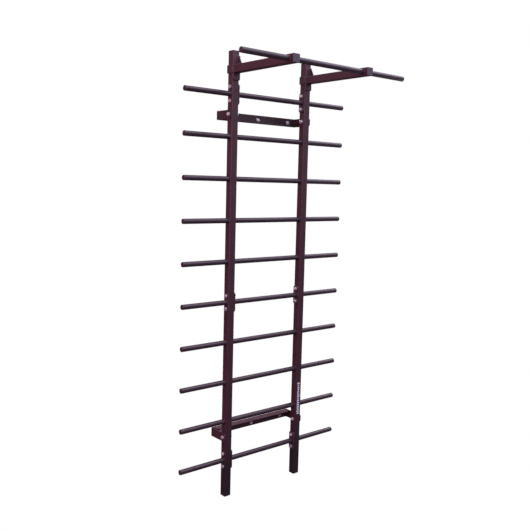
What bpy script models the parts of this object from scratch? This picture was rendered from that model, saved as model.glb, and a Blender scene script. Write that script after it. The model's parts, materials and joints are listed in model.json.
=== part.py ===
"""Wall-mounted climbing ladder with a pull-up bar, made of steel tube, plate and bolts.

Metres. +Z is up, +Y points at the wall and X runs along the rungs. The origin is on the floor, under
the middle of the object's bounding box.
"""

import math

import bmesh
import bpy
from mathutils import Matrix, Vector

# Driving dimensions ---------------------------------------------------------------------------------

FIT_GAP = 0.0003  # between pieces that touch

POST_SIDE = 0.040
POST_WALL = 0.002
POST_CORNER = 0.003
POST_SPACING = 0.500  # between the posts' centre lines
VENT_RADIUS = 0.003  # one hole in the left post's front
VENT_RISE = 0.018  # above the top rung's axis

RUNG_COUNT = 10
RUNG_PITCH = 0.215
RUNG_RADIUS = 0.01345
RUNG_WALL = 0.002
RUNG_LENGTH = 1.090
FIRST_RUNG_HEIGHT = 0.200
TOP_RUNG_DROP = 0.215  # from the top of the posts to the top rung's axis
ROUND_SIDES = 24

CAP_THICKNESS = 0.004
CAP_DEPTH = 0.014  # how far a cap or foot reaches into its tube
CAP_CORNER = 0.002

RUNG_PLATE_LENGTH = 0.105
RUNG_PLATE_THICKNESS = 0.006
RUNG_PLATE_CLIP = 0.008  # cut off each corner
RUNG_PLATE_BOLT_OFFSET = 0.035  # from the rung's axis
PLATED_RUNGS = {"lower": 1, "middle": 5, "upper": 10}

BAR_REACH = 0.4385  # from the posts' centre plane to the bar's axis
BAR_TO_ARM_END = 0.0365
BAR_LENGTH = 1.090
BAR_RADIUS = 0.01345
BAR_WALL = 0.002
ARM_SIDE = 0.040
ARM_WALL = 0.002
ARM_RISE = 0.123  # from the top rung's axis to the arm's axis

ARM_PLATE_LIP = 0.003  # beyond the post on each side
ARM_PLATE_THICKNESS = 0.006
ARM_PLATE_ABOVE = 0.067  # from the arm's axis
ARM_PLATE_BELOW = 0.055
ARM_PLATE_CORNER = 0.003

GUSSET_THICKNESS = 0.005
GUSSET_HEIGHT = 0.040
GUSSET_BASE = 0.026
GUSSET_NOSE = 0.010  # its top and front edges
GUSSET_OFFSET = 0.008  # to the right of the arm's centre plane

COLLAR_THICKNESS = 0.005
COLLAR_HEIGHT = 0.040
COLLAR_CORNER = 0.005

BRACKET_HEIGHT = 0.045
BRACKET_THICKNESS = 0.005
BRACKET_BEND = 0.008
BRACKET_CLIP = 0.008  # at the front ends of the legs
WALL_DISTANCE = 0.110  # from the posts' centre plane to the wall
FLANGE_DEPTH = 0.045  # of the shelf along one edge of each bracket
FLANGE_EDGES = {"lower": 1, "upper": -1}  # along the top edge of one and the bottom edge of the other
FLANGE_CLIP = 0.020
UPPER_BRACKET_DROP = 0.1025  # from the top rung's axis to the bracket's middle
LOWER_BRACKET_RISE = 0.128  # from the lowest rung's axis to the bracket's middle
WALL_BOLT_SPACING = 0.217
WALL_BOLT_DROP = 0.003  # below the bracket's middle

BOLT_RADIUS = 0.005
BOLT_HEAD_ACROSS_FLATS = 0.016
BOLT_HEAD_HEIGHT = 0.0064
BOLT_WASHER_RADIUS = 0.010
BOLT_WASHER_THICKNESS = 0.002
BOLT_NUT_HEIGHT = 0.008
BOLT_TAIL = 0.003  # beyond the nut
BOLT_SIDES = 12
WASHER_SIDES = 16
SCREW_TAIL = 0.006  # of a screw with no nut, inside its tube

# Worked out from them -------------------------------------------------------------------------------

HALF_POST = POST_SIDE / 2
HALF_ARM = ARM_SIDE / 2
HALF_SPACING = POST_SPACING / 2
TOP_RUNG_HEIGHT = FIRST_RUNG_HEIGHT + (RUNG_COUNT - 1) * RUNG_PITCH
POST_HEIGHT = TOP_RUNG_HEIGHT + TOP_RUNG_DROP
ARM_END = BAR_REACH + BAR_TO_ARM_END
POST_Y = (ARM_END - WALL_DISTANCE) / 2  # puts the origin midway between the arm ends and the wall
WALL_Y = POST_Y + WALL_DISTANCE
BAR_Y = POST_Y - BAR_REACH
ARM_END_Y = POST_Y - ARM_END
POST_FRONT_Y = POST_Y - HALF_POST
ARM_HEIGHT = TOP_RUNG_HEIGHT + ARM_RISE
ARM_PLATE_WIDTH = POST_SIDE + 2 * ARM_PLATE_LIP
ARM_PLATE_BACK_Y = POST_FRONT_Y - FIT_GAP
ARM_PLATE_FRONT_Y = ARM_PLATE_BACK_Y - ARM_PLATE_THICKNESS
ARM_START_Y = ARM_PLATE_FRONT_Y - FIT_GAP
BRACKET_HEIGHTS = {
    "lower": FIRST_RUNG_HEIGHT + LOWER_BRACKET_RISE,
    "upper": TOP_RUNG_HEIGHT - UPPER_BRACKET_DROP,
}
SIDES = {"left": -1, "right": 1}
HALF_BRACKET = HALF_SPACING + HALF_POST + FIT_GAP + BRACKET_THICKNESS
MARGIN = 0.010  # how far a cutter runs past what it cuts

AXIS_TURNS = {
    "X": Matrix.Rotation(math.pi / 2, 4, "Y"),
    "Y": Matrix.Rotation(-math.pi / 2, 4, "X"),
    "Z": Matrix.Identity(4),
}


def rung_height(number):
    return FIRST_RUNG_HEIGHT + (number - 1) * RUNG_PITCH


# Scene and materials --------------------------------------------------------------------------------


def clear_scene():
    for obj in list(bpy.data.objects):
        bpy.data.objects.remove(obj)


def add_collection(name):
    collection = bpy.data.collections.new(name)
    bpy.context.scene.collection.children.link(collection)
    return collection


def add_material(name, color, roughness, metallic):
    material = bpy.data.materials.new(name)
    material.use_nodes = True
    shader = material.node_tree.nodes["Principled BSDF"]
    shader.inputs["Base Color"].default_value = (*color, 1.0)
    shader.inputs["Roughness"].default_value = roughness
    shader.inputs["Metallic"].default_value = metallic
    return material


# Shapes ---------------------------------------------------------------------------------------------


def finish_mesh(name, shape, smooth=False):
    mesh = bpy.data.meshes.new(name)
    shape.to_mesh(mesh)
    shape.free()
    if smooth:
        mesh.shade_smooth()
        mesh.set_sharp_from_angle(angle=math.radians(35))
    return mesh


def add_box(shape, size, centre):
    place = Matrix.Translation(centre) @ Matrix.Diagonal((*size, 1))
    bmesh.ops.create_cube(shape, size=1, matrix=place)


def add_cylinder(shape, radius, low, high, axis="Z", centre=(0, 0, 0), sides=ROUND_SIDES):
    """A closed cylinder round an axis through centre, from low to high along that axis."""
    middle = Matrix.Translation((0, 0, (low + high) / 2))
    place = Matrix.Translation(centre) @ AXIS_TURNS[axis] @ middle
    bmesh.ops.create_cone(
        shape,
        cap_ends=True,
        segments=sides,
        radius1=radius,
        radius2=radius,
        depth=high - low,
        matrix=place,
    )


def bevel_edges(shape, axis, radius, segments, chosen=lambda middle: True):
    """Rounds, or with one segment clips, the edges along an axis whose middle point is chosen."""
    edges = []
    for edge in shape.edges:
        start, end = (vertex.co for vertex in edge.verts)
        if abs((end - start).normalized()["XYZ".index(axis)]) > 0.99 and chosen((start + end) / 2):
            edges.append(edge)
    bmesh.ops.bevel(
        shape, geom=edges, offset=radius, segments=segments, profile=0.5, affect="EDGES"
    )


def box_mesh(name, size, centre, axis="Z", corner=0, segments=2):
    """A box, with the edges along one axis rounded where a corner size is given."""
    shape = bmesh.new()
    add_box(shape, size, centre)
    if corner:
        bevel_edges(shape, axis, corner, segments)
    return finish_mesh(name, shape)


def holes_mesh(name, holes):
    """Separate cylinders, each given as (radius, axis, centre, half length, sides)."""
    shape = bmesh.new()
    for radius, axis, centre, half_length, sides in holes:
        add_cylinder(shape, radius, -half_length, half_length, axis, centre, sides)
    return finish_mesh(name, shape)


def add_part(name, mesh, material, location=(0, 0, 0), rotation=(0, 0, 0)):
    if not mesh.materials:
        mesh.materials.append(material)
    part = bpy.data.objects.new(name, mesh)
    part.location = location
    part.rotation_euler = rotation
    parts.objects.link(part)
    return part


def add_helper(name, mesh):
    helper = bpy.data.objects.new(name, mesh)
    helper.hide_render = True
    helper.display_type = "WIRE"
    cutters.objects.link(helper)
    return helper


def combine(part, operation, mesh):
    """Cuts a mesh from a part, or joins it on."""
    modifier = part.modifiers.new(operation.lower(), "BOOLEAN")
    modifier.solver = "EXACT"
    modifier.operation = operation
    modifier.object = add_helper(f"{part.name}_{mesh.name}", mesh)
    modifier.object.matrix_world = Matrix.Identity(4)


def round_tube(name, radius, wall, length, material, location):
    """A tube along X, turned from the outline of its wall."""
    half = length / 2
    inner = radius - wall
    shape = bmesh.new()
    outline = [(radius, half), (radius, -half), (inner, -half), (inner, half)]
    corners = [shape.verts.new((across, 0, along)) for across, along in outline]
    for start, end in zip(corners, corners[1:] + corners[:1]):
        shape.edges.new((start, end))
    tube = add_part(name, finish_mesh(name, shape), material, location, (0, math.pi / 2, 0))
    screw = tube.modifiers.new("turn", "SCREW")
    screw.axis = "Z"
    screw.steps = ROUND_SIDES
    screw.render_steps = ROUND_SIDES
    screw.use_merge_vertices = True
    screw.merge_threshold = 0.0001
    screw.use_smooth_shade = False
    return tube


def fused_mesh(name, meshes):
    """One closed mesh from closed meshes that run into each other."""
    first = bpy.data.objects.new(name, meshes[0])
    cutters.objects.link(first)
    for mesh in meshes[1:]:
        modifier = first.modifiers.new("join", "BOOLEAN")
        modifier.operation = "UNION"
        modifier.solver = "EXACT"
        modifier.object = add_helper(mesh.name, mesh)
    bpy.context.view_layer.update()
    graph = bpy.context.evaluated_depsgraph_get()
    fused = bpy.data.meshes.new_from_object(first.evaluated_get(graph))
    for modifier in list(first.modifiers):
        bpy.data.objects.remove(modifier.object)
    bpy.data.objects.remove(first)
    fused.name = name
    return fused


# Fasteners: each points its head along local +Z and has its origin on the face that it clamps --------


def cylinder_mesh(name, radius, low, high, sides):
    shape = bmesh.new()
    add_cylinder(shape, radius, low, high, sides=sides)
    return finish_mesh(name, shape, smooth=sides > 6)


def bolt_mesh(name, below, grip=None):
    """A bolt whose shank reaches below its face; with a grip, a washer and a nut close the far side."""
    hexagon = BOLT_HEAD_ACROSS_FLATS / math.sqrt(3)
    bite = BOLT_WASHER_THICKNESS / 2  # how deep head and nut run into their washers
    washer_top = FIT_GAP + BOLT_WASHER_THICKNESS
    head_top = washer_top + BOLT_HEAD_HEIGHT
    shank_top = washer_top + BOLT_HEAD_HEIGHT / 2
    pieces = [
        cylinder_mesh("washer", BOLT_WASHER_RADIUS, FIT_GAP, washer_top, WASHER_SIDES),
        cylinder_mesh("head", hexagon, washer_top - bite, head_top, 6),
        cylinder_mesh("shank", BOLT_RADIUS, -below, shank_top, BOLT_SIDES),
    ]
    if grip is not None:
        far_face = -grip - FIT_GAP
        far_washer = far_face - BOLT_WASHER_THICKNESS
        nut_end = far_washer - BOLT_NUT_HEIGHT
        pieces += [
            cylinder_mesh("far_washer", BOLT_WASHER_RADIUS, far_washer, far_face, WASHER_SIDES),
            cylinder_mesh("nut", hexagon, nut_end, far_washer + bite, 6),
        ]
    return fused_mesh(name, pieces)


def through_bolt_mesh(name, grip):
    past_nut = FIT_GAP + BOLT_WASHER_THICKNESS + BOLT_NUT_HEIGHT + BOLT_TAIL
    return bolt_mesh(name, grip + past_nut, grip)


def add_bolt(name, mesh, face, outwards):
    """Places a bolt with its head on the outwards side of a face."""
    turn = Vector((0, 0, 1)).rotation_difference(Vector(outwards)).to_euler()
    return add_part(name, mesh, bolt_steel, face, turn)


# Posts with their caps and feet ---------------------------------------------------------------------


def bolt_hole(axis, centre, half_length):
    return (BOLT_RADIUS + FIT_GAP, axis, centre, half_length, BOLT_SIDES)


def post_holes(side, post_x):
    """The rungs, the plates' bolts, the bracket's bolts, the collar's screw and the vent."""
    across = HALF_POST + MARGIN
    holes = []
    for number in range(1, RUNG_COUNT + 1):
        centre = (post_x, POST_Y, rung_height(number))
        holes.append((RUNG_RADIUS + FIT_GAP, "X", centre, across, ROUND_SIDES))
    for number in PLATED_RUNGS.values():
        for offset in (-RUNG_PLATE_BOLT_OFFSET, RUNG_PLATE_BOLT_OFFSET):
            holes.append(bolt_hole("X", (post_x, POST_Y, rung_height(number) + offset), across))
    for height in BRACKET_HEIGHTS.values():
        holes.append(bolt_hole("X", (post_x, POST_Y, height), across))
    holes.append(bolt_hole("Y", (post_x, POST_Y + HALF_POST, ARM_HEIGHT), HALF_POST / 2))
    if side == "left":
        vent = (post_x, POST_FRONT_Y, TOP_RUNG_HEIGHT + VENT_RISE)
        holes.append((VENT_RADIUS, "Y", vent, POST_WALL + FIT_GAP, BOLT_SIDES))
    return holes


def add_post(side, sign):
    post_x = sign * HALF_SPACING
    low = CAP_THICKNESS + FIT_GAP
    high = POST_HEIGHT - CAP_THICKNESS - FIT_GAP
    centre = (post_x, POST_Y, (low + high) / 2)
    size = (POST_SIDE, POST_SIDE, high - low)
    bore = POST_SIDE - 2 * POST_WALL
    post = add_part(f"upright_{side}", box_mesh("post", size, centre, "Z", POST_CORNER), black_steel)
    bore_corner = POST_CORNER - POST_WALL
    bore_size = (bore, bore, high - low + MARGIN)
    combine(post, "DIFFERENCE", box_mesh("bore", bore_size, centre, "Z", bore_corner, 1))
    combine(post, "DIFFERENCE", holes_mesh("holes", post_holes(side, post_x)))


def tube_plug_mesh(name, side, wall):
    """A square cap lying in XY with its show face at z = 0 and its stem pointing along +Z."""
    stem = side - 2 * (wall + FIT_GAP)
    stem_height = CAP_DEPTH + CAP_THICKNESS / 2
    stem_centre = (0, 0, CAP_THICKNESS / 2 + stem_height / 2)
    flat = box_mesh("flat", (side, side, CAP_THICKNESS), (0, 0, CAP_THICKNESS / 2), "Z", POST_CORNER)
    return fused_mesh(
        name, [flat, box_mesh("stem", (stem, stem, stem_height), stem_centre, "Z", CAP_CORNER)]
    )


def add_post_ends(side, sign, plug):
    post_x = sign * HALF_SPACING
    add_part(f"foot_{side}", plug, black_plastic, (post_x, POST_Y, 0))
    add_part(f"top_cap_{side}", plug, black_plastic, (post_x, POST_Y, POST_HEIGHT), (math.pi, 0, 0))


# Rungs and the plates that fix three of them --------------------------------------------------------


def add_rungs():
    for number in range(1, RUNG_COUNT + 1):
        place = (0, POST_Y, rung_height(number))
        round_tube(f"rung_{number:02d}", RUNG_RADIUS, RUNG_WALL, RUNG_LENGTH, black_steel, place)


def add_rung_plate(side, sign, level, number):
    """A plate on a post's inner side, with the rung through it and a bolt above and below."""
    post_face = sign * (HALF_SPACING - HALF_POST)
    plate_x = post_face - sign * (FIT_GAP + RUNG_PLATE_THICKNESS / 2)
    height = rung_height(number)
    size = (RUNG_PLATE_THICKNESS, POST_SIDE, RUNG_PLATE_LENGTH)
    centre = (plate_x, POST_Y, height)
    mesh = box_mesh("plate", size, centre, "X", RUNG_PLATE_CLIP, segments=1)
    plate = add_part(f"rung_plate_{side}_{level}", mesh, black_steel)
    half_cut = RUNG_PLATE_THICKNESS
    holes = [(RUNG_RADIUS + FIT_GAP, "X", centre, half_cut, ROUND_SIDES)]
    for offset in (-RUNG_PLATE_BOLT_OFFSET, RUNG_PLATE_BOLT_OFFSET):
        holes.append(bolt_hole("X", (plate_x, POST_Y, height + offset), half_cut))
    combine(plate, "DIFFERENCE", holes_mesh("holes", holes))


def add_rung_plate_bolts(side, sign, level, number, mesh):
    outer_face = sign * (HALF_SPACING + HALF_POST)
    for place, offset in (("a", -RUNG_PLATE_BOLT_OFFSET), ("b", RUNG_PLATE_BOLT_OFFSET)):
        face = (outer_face, POST_Y, rung_height(number) + offset)
        add_bolt(f"plate_bolt_{side}_{level}_{place}", mesh, face, (sign, 0, 0))


# Pull-up bar and its arms ---------------------------------------------------------------------------


def add_arm(side, sign):
    arm_x = sign * HALF_SPACING
    front_y = ARM_END_Y + CAP_THICKNESS + FIT_GAP
    centre = (arm_x, (front_y + ARM_START_Y) / 2, ARM_HEIGHT)
    length = ARM_START_Y - front_y
    bore = ARM_SIDE - 2 * ARM_WALL
    tube = box_mesh("tube", (ARM_SIDE, length, ARM_SIDE), centre, "Y", POST_CORNER)
    arm = add_part(f"arm_{side}", tube, black_steel)
    bore_size = (bore, length + MARGIN, bore)
    combine(arm, "DIFFERENCE", box_mesh("bore", bore_size, centre, "Y", POST_CORNER - ARM_WALL, 1))
    bar_hole = (BAR_RADIUS + FIT_GAP, "X", (arm_x, BAR_Y, ARM_HEIGHT), HALF_ARM + MARGIN, ROUND_SIDES)
    combine(arm, "DIFFERENCE", holes_mesh("holes", [bar_hole]))


def add_arm_cap(side, sign, plug):
    place = (sign * HALF_SPACING, ARM_END_Y, ARM_HEIGHT)
    add_part(f"arm_cap_{side}", plug, black_plastic, place, (-math.pi / 2, 0, 0))


def add_arm_plate(side, sign):
    """The plate between the arm and the post's front."""
    height = ARM_PLATE_ABOVE + ARM_PLATE_BELOW
    middle = ARM_HEIGHT + (ARM_PLATE_ABOVE - ARM_PLATE_BELOW) / 2
    centre = (sign * HALF_SPACING, (ARM_PLATE_BACK_Y + ARM_PLATE_FRONT_Y) / 2, middle)
    size = (ARM_PLATE_WIDTH, ARM_PLATE_THICKNESS, height)
    mesh = box_mesh("plate", size, centre, "Y", ARM_PLATE_CORNER)
    add_part(f"arm_plate_{side}", mesh, black_steel)


def add_gusset(side, sign):
    """A web in the corner between the arm's top and its plate, with its sloped corner cut off."""
    back = ARM_PLATE_FRONT_Y - FIT_GAP
    floor = ARM_HEIGHT + HALF_ARM + FIT_GAP
    centre_x = sign * HALF_SPACING + GUSSET_OFFSET
    outline = [
        (back, floor),
        (back, floor + GUSSET_HEIGHT),
        (back - GUSSET_NOSE, floor + GUSSET_HEIGHT),
        (back - GUSSET_BASE, floor + GUSSET_NOSE),
        (back - GUSSET_BASE, floor),
    ]
    curve = bpy.data.curves.new("gusset", "CURVE")
    curve.dimensions = "2D"
    curve.fill_mode = "BOTH"
    curve.extrude = GUSSET_THICKNESS / 2
    spline = curve.splines.new("POLY")
    spline.points.add(len(outline) - 1)
    for point, (along, up) in zip(spline.points, outline):
        point.co = (along, up, 0, 1)
    spline.use_cyclic_u = True
    gusset = add_part(f"gusset_{side}", curve, black_steel, (centre_x, 0, 0))
    gusset.rotation_euler = (math.pi / 2, 0, math.pi / 2)  # the outline's X along world Y, its Y up


def add_collar(side, sign):
    """A strap round the post's back and sides, welded to the back of the arm's plate."""
    post_x = sign * HALF_SPACING
    inner = POST_SIDE + 2 * FIT_GAP
    outer = inner + 2 * COLLAR_THICKNESS
    back = POST_Y + HALF_POST + FIT_GAP + COLLAR_THICKNESS
    front = ARM_PLATE_BACK_Y + FIT_GAP
    shape = bmesh.new()
    add_box(shape, (outer, back - front, COLLAR_HEIGHT), (post_x, (back + front) / 2, ARM_HEIGHT))
    bevel_edges(shape, "Z", COLLAR_CORNER, 2, lambda middle: middle.y > POST_Y)
    collar = add_part(f"arm_collar_{side}", finish_mesh("strap", shape), black_steel)
    slot_front = front - MARGIN
    slot_back = POST_Y + HALF_POST + FIT_GAP
    slot_size = (inner, slot_back - slot_front, COLLAR_HEIGHT + MARGIN)
    slot = box_mesh("slot", slot_size, (post_x, (slot_back + slot_front) / 2, ARM_HEIGHT))
    combine(collar, "DIFFERENCE", slot)
    screw_hole = bolt_hole("Y", (post_x, back, ARM_HEIGHT), 2 * COLLAR_THICKNESS)
    combine(collar, "DIFFERENCE", holes_mesh("holes", [screw_hole]))


def add_collar_screw(side, sign, mesh):
    back = POST_Y + HALF_POST + FIT_GAP + COLLAR_THICKNESS
    add_bolt(f"collar_screw_{side}", mesh, (sign * HALF_SPACING, back, ARM_HEIGHT), (0, 1, 0))


# Wall brackets --------------------------------------------------------------------------------------


def wall_bolt_places(height):
    return [(step * WALL_BOLT_SPACING, height - WALL_BOLT_DROP) for step in (-1, 0, 1)]


def flange_mesh(height, edge):
    """The shelf along the back strip's top or bottom edge, with its two front corners clipped."""
    inner_x = HALF_BRACKET - BRACKET_THICKNESS - BRACKET_BEND
    back = WALL_Y - BRACKET_THICKNESS / 2
    front = WALL_Y - FLANGE_DEPTH
    middle_z = height + edge * (BRACKET_HEIGHT - BRACKET_THICKNESS) / 2
    shape = bmesh.new()
    size = (2 * inner_x, back - front, BRACKET_THICKNESS)
    add_box(shape, size, (0, (back + front) / 2, middle_z))
    bevel_edges(shape, "Z", FLANGE_CLIP, 1, lambda middle: middle.y < (back + front) / 2)
    return finish_mesh("flange", shape)


def add_bracket(level, height):
    """A strip bent round both posts, with its back on the wall and its legs on their outer sides."""
    front = POST_FRONT_Y
    shape = bmesh.new()
    size = (2 * HALF_BRACKET, WALL_Y - front, BRACKET_HEIGHT)
    add_box(shape, size, (0, (WALL_Y + front) / 2, height))
    bevel_edges(shape, "Z", BRACKET_BEND, 3, lambda middle: middle.y > POST_Y)
    bevel_edges(shape, "X", BRACKET_CLIP, 1, lambda middle: middle.y < POST_Y)
    bracket = add_part(f"wall_bracket_{level}", finish_mesh("strip", shape), black_steel)

    inner_back = WALL_Y - BRACKET_THICKNESS
    inner_front = front - MARGIN
    inner = bmesh.new()
    size = (2 * (HALF_BRACKET - BRACKET_THICKNESS), inner_back - inner_front, BRACKET_HEIGHT + MARGIN)
    add_box(inner, size, (0, (inner_back + inner_front) / 2, height))
    bevel_edges(inner, "Z", BRACKET_BEND - BRACKET_THICKNESS, 2, lambda middle: middle.y > POST_Y)
    combine(bracket, "DIFFERENCE", finish_mesh("inside", inner))
    combine(bracket, "UNION", flange_mesh(height, FLANGE_EDGES[level]))

    holes = []
    for bolt_x, bolt_z in wall_bolt_places(height):
        holes.append(bolt_hole("Y", (bolt_x, WALL_Y, bolt_z), 2 * BRACKET_THICKNESS))
    for sign in SIDES.values():
        leg = (sign * HALF_BRACKET, POST_Y, height)
        holes.append(bolt_hole("X", leg, 2 * BRACKET_THICKNESS))
    combine(bracket, "DIFFERENCE", holes_mesh("holes", holes))


def add_bracket_bolts(level, height, side_mesh, wall_mesh):
    for side, sign in SIDES.items():
        face = (sign * HALF_BRACKET, POST_Y, height)
        add_bolt(f"bracket_bolt_{side}_{level}", side_mesh, face, (sign, 0, 0))
    for place, (bolt_x, bolt_z) in zip(("left", "centre", "right"), wall_bolt_places(height)):
        face = (bolt_x, WALL_Y - BRACKET_THICKNESS, bolt_z)
        add_bolt(f"wall_bolt_{place}_{level}", wall_mesh, face, (0, -1, 0))


# Build ----------------------------------------------------------------------------------------------

clear_scene()
parts = add_collection("climbing_ladder")
cutters = add_collection("cutters")
black_steel = add_material("black_powder_coat", (0.028, 0.022, 0.026), 0.45, 0.0)
black_plastic = add_material("black_plastic", (0.020, 0.019, 0.021), 0.55, 0.0)
bolt_steel = add_material("zinc_plated_steel", (0.62, 0.61, 0.60), 0.35, 1.0)

post_plug = tube_plug_mesh("post_plug", POST_SIDE, POST_WALL)
arm_plug = tube_plug_mesh("arm_plug", ARM_SIDE, ARM_WALL)
post_and_plate = POST_SIDE + FIT_GAP + RUNG_PLATE_THICKNESS
plate_bolt = through_bolt_mesh("plate_bolt", post_and_plate)
bracket_bolt = through_bolt_mesh("bracket_bolt", BRACKET_THICKNESS + FIT_GAP + POST_SIDE)
wall_bolt = bolt_mesh("wall_bolt", BRACKET_THICKNESS - FIT_GAP)
collar_screw = bolt_mesh("collar_screw", COLLAR_THICKNESS + FIT_GAP + POST_WALL + SCREW_TAIL)

add_rungs()
bar_place = (0, BAR_Y, ARM_HEIGHT)
round_tube("pull_up_bar", BAR_RADIUS, BAR_WALL, BAR_LENGTH, black_steel, bar_place)
for side, sign in SIDES.items():
    add_post(side, sign)
    add_post_ends(side, sign, post_plug)
    for level, number in PLATED_RUNGS.items():
        add_rung_plate(side, sign, level, number)
        add_rung_plate_bolts(side, sign, level, number, plate_bolt)
    add_arm(side, sign)
    add_arm_cap(side, sign, arm_plug)
    add_arm_plate(side, sign)
    add_gusset(side, sign)
    add_collar(side, sign)
    add_collar_screw(side, sign, collar_screw)
for level, height in BRACKET_HEIGHTS.items():
    add_bracket(level, height)
    add_bracket_bolts(level, height, bracket_bolt, wall_bolt)
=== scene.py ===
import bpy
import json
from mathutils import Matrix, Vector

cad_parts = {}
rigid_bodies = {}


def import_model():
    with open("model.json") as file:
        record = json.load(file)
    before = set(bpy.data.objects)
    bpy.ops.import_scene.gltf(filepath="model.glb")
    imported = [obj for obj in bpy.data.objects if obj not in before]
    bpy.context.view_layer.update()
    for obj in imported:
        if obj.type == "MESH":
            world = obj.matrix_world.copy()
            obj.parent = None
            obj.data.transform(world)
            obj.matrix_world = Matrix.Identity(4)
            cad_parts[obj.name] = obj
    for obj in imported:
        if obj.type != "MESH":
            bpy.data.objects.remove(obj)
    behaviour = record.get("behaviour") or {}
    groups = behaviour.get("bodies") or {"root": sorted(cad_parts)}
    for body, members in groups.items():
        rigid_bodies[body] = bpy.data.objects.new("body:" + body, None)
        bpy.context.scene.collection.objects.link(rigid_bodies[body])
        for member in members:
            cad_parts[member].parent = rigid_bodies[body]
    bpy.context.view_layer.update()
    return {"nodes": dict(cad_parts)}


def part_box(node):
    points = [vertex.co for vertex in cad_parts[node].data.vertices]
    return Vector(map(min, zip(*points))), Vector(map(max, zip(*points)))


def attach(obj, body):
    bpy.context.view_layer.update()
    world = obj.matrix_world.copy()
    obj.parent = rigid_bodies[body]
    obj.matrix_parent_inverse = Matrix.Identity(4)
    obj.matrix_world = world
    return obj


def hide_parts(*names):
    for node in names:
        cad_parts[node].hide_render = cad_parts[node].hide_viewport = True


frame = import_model()

import json
import math

import bmesh
import bpy
from mathutils import Matrix, Vector

print("frame loaded with", len(frame["nodes"]), "nodes")

sides = {"left": -1, "right": 1}
axisNumber = {"X": 0, "Y": 1, "Z": 2}
axisTurn = {
    "X": Matrix.Rotation(math.pi / 2, 4, "Y"),
    "Y": Matrix.Rotation(-math.pi / 2, 4, "X"),
    "Z": Matrix.Identity(4),
}
profileTurn = Matrix(
    ((0, 0, 1, 0), (1, 0, 0, 0), (0, 1, 0, 0), (0, 0, 0, 1))
)  # drawn in YZ, deep along X
sceneObjects = bpy.context.scene.collection.objects


def boxOf(node):  # centre and size of a frame node
    low, high = (Vector(corner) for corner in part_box(node))
    return (low + high) / 2, high - low


# Node trees


def addNode(tree, kind, inputs=(), **settings):
    node = tree.nodes.new(kind)
    for key, value in settings.items():
        setattr(node, key, value)
    for key, value in dict(inputs).items():
        if isinstance(value, bpy.types.NodeSocket):
            tree.links.new(value, node.inputs[key])
        else:
            node.inputs[key].default_value = value
    return node


def maths(tree, operation, first, second=0.0, clamp=False):
    node = addNode(tree, "ShaderNodeMath", {0: first, 1: second}, operation=operation)
    node.use_clamp = clamp
    return node.outputs[0]


def newTree(name, kind, inputs, outputs):
    tree = bpy.data.node_groups.new(name, kind)
    for label, socketKind, value in inputs:
        socket = tree.interface.new_socket(label, in_out="INPUT", socket_type="NodeSocket" + socketKind)
        if value is not None:
            socket.default_value = value
    for label, socketKind in outputs:
        tree.interface.new_socket(label, in_out="OUTPUT", socket_type="NodeSocket" + socketKind)
    return tree, tree.nodes.new("NodeGroupInput").outputs, tree.nodes.new("NodeGroupOutput").inputs


# Shader groups, each used by several materials


def makeFineGrain():  # orange peel of powder coat, or the sand finish of a moulding
    tree, given, out = newTree(
        "fineGrain",
        "ShaderNodeTree",
        [("Vector", "Vector", None), ("Grain Size", "Float", 0.001), ("Patch Size", "Float", 0.1)],
        [("Height", "Float"), ("Mottle", "Float")],
    )
    fine = maths(tree, "DIVIDE", 1.0, given["Grain Size"])
    coarse = maths(tree, "DIVIDE", 1.0, given["Patch Size"])
    peel = addNode(tree, "ShaderNodeTexNoise", {"Vector": given["Vector"], "Scale": fine, "Detail": 2.0})
    finer = maths(tree, "MULTIPLY", fine, 1.7)
    speck = addNode(tree, "ShaderNodeTexVoronoi", {"Vector": given["Vector"], "Scale": finer})
    patch = addNode(
        tree,
        "ShaderNodeTexNoise",
        {"Vector": given["Vector"], "Scale": coarse, "Detail": 5.0, "Roughness": 0.6},
    )
    specks = maths(tree, "MULTIPLY", speck.outputs["Distance"], 0.35)
    height = maths(tree, "ADD", peel.outputs["Fac"], specks)
    spread = addNode(
        tree,
        "ShaderNodeMapRange",
        {"Value": patch.outputs["Fac"], "From Min": 0.32, "From Max": 0.68, "To Min": 0.0, "To Max": 1.0},
    )
    tree.links.new(height, out["Height"])
    tree.links.new(spread.outputs["Result"], out["Mottle"])
    return tree


def makeEdgeRub():  # a mask along the edges of a box that is mirrored in X
    tree, given, out = newTree(
        "edgeRub",
        "ShaderNodeTree",
        [
            ("Vector", "Vector", None),
            ("Centre", "Vector", (0.0, 0.0, 0.0)),
            ("Half Size", "Vector", (1.0, 1.0, 1.0)),
            ("Width", "Float", 0.002),
        ],
        [("Mask", "Float")],
    )
    place = addNode(tree, "ShaderNodeSeparateXYZ", {0: given["Vector"]}).outputs
    centre = addNode(tree, "ShaderNodeSeparateXYZ", {0: given["Centre"]}).outputs
    half = addNode(tree, "ShaderNodeSeparateXYZ", {0: given["Half Size"]}).outputs
    near = []
    for axis in range(3):
        along = maths(tree, "ABSOLUTE", place[axis]) if axis == 0 else place[axis]
        off = maths(tree, "ABSOLUTE", maths(tree, "SUBTRACT", along, centre[axis]))
        inside = maths(tree, "SUBTRACT", off, maths(tree, "SUBTRACT", half[axis], given["Width"]))
        near.append(maths(tree, "DIVIDE", inside, given["Width"], clamp=True))
    pairs = [maths(tree, "MULTIPLY", near[a], near[b]) for a, b in ((0, 1), (1, 2), (0, 2))]
    edge = maths(tree, "MAXIMUM", pairs[0], maths(tree, "MAXIMUM", pairs[1], pairs[2]))
    broken = addNode(
        tree, "ShaderNodeTexNoise", {"Vector": given["Vector"], "Scale": 42.0, "Detail": 6.0}
    )
    shown = addNode(
        tree, "ShaderNodeMapRange", {"Value": broken.outputs["Fac"], "From Min": 0.42, "From Max": 0.7}
    )
    tree.links.new(maths(tree, "MULTIPLY", edge, shown.outputs["Result"]), out["Mask"])
    return tree


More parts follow.
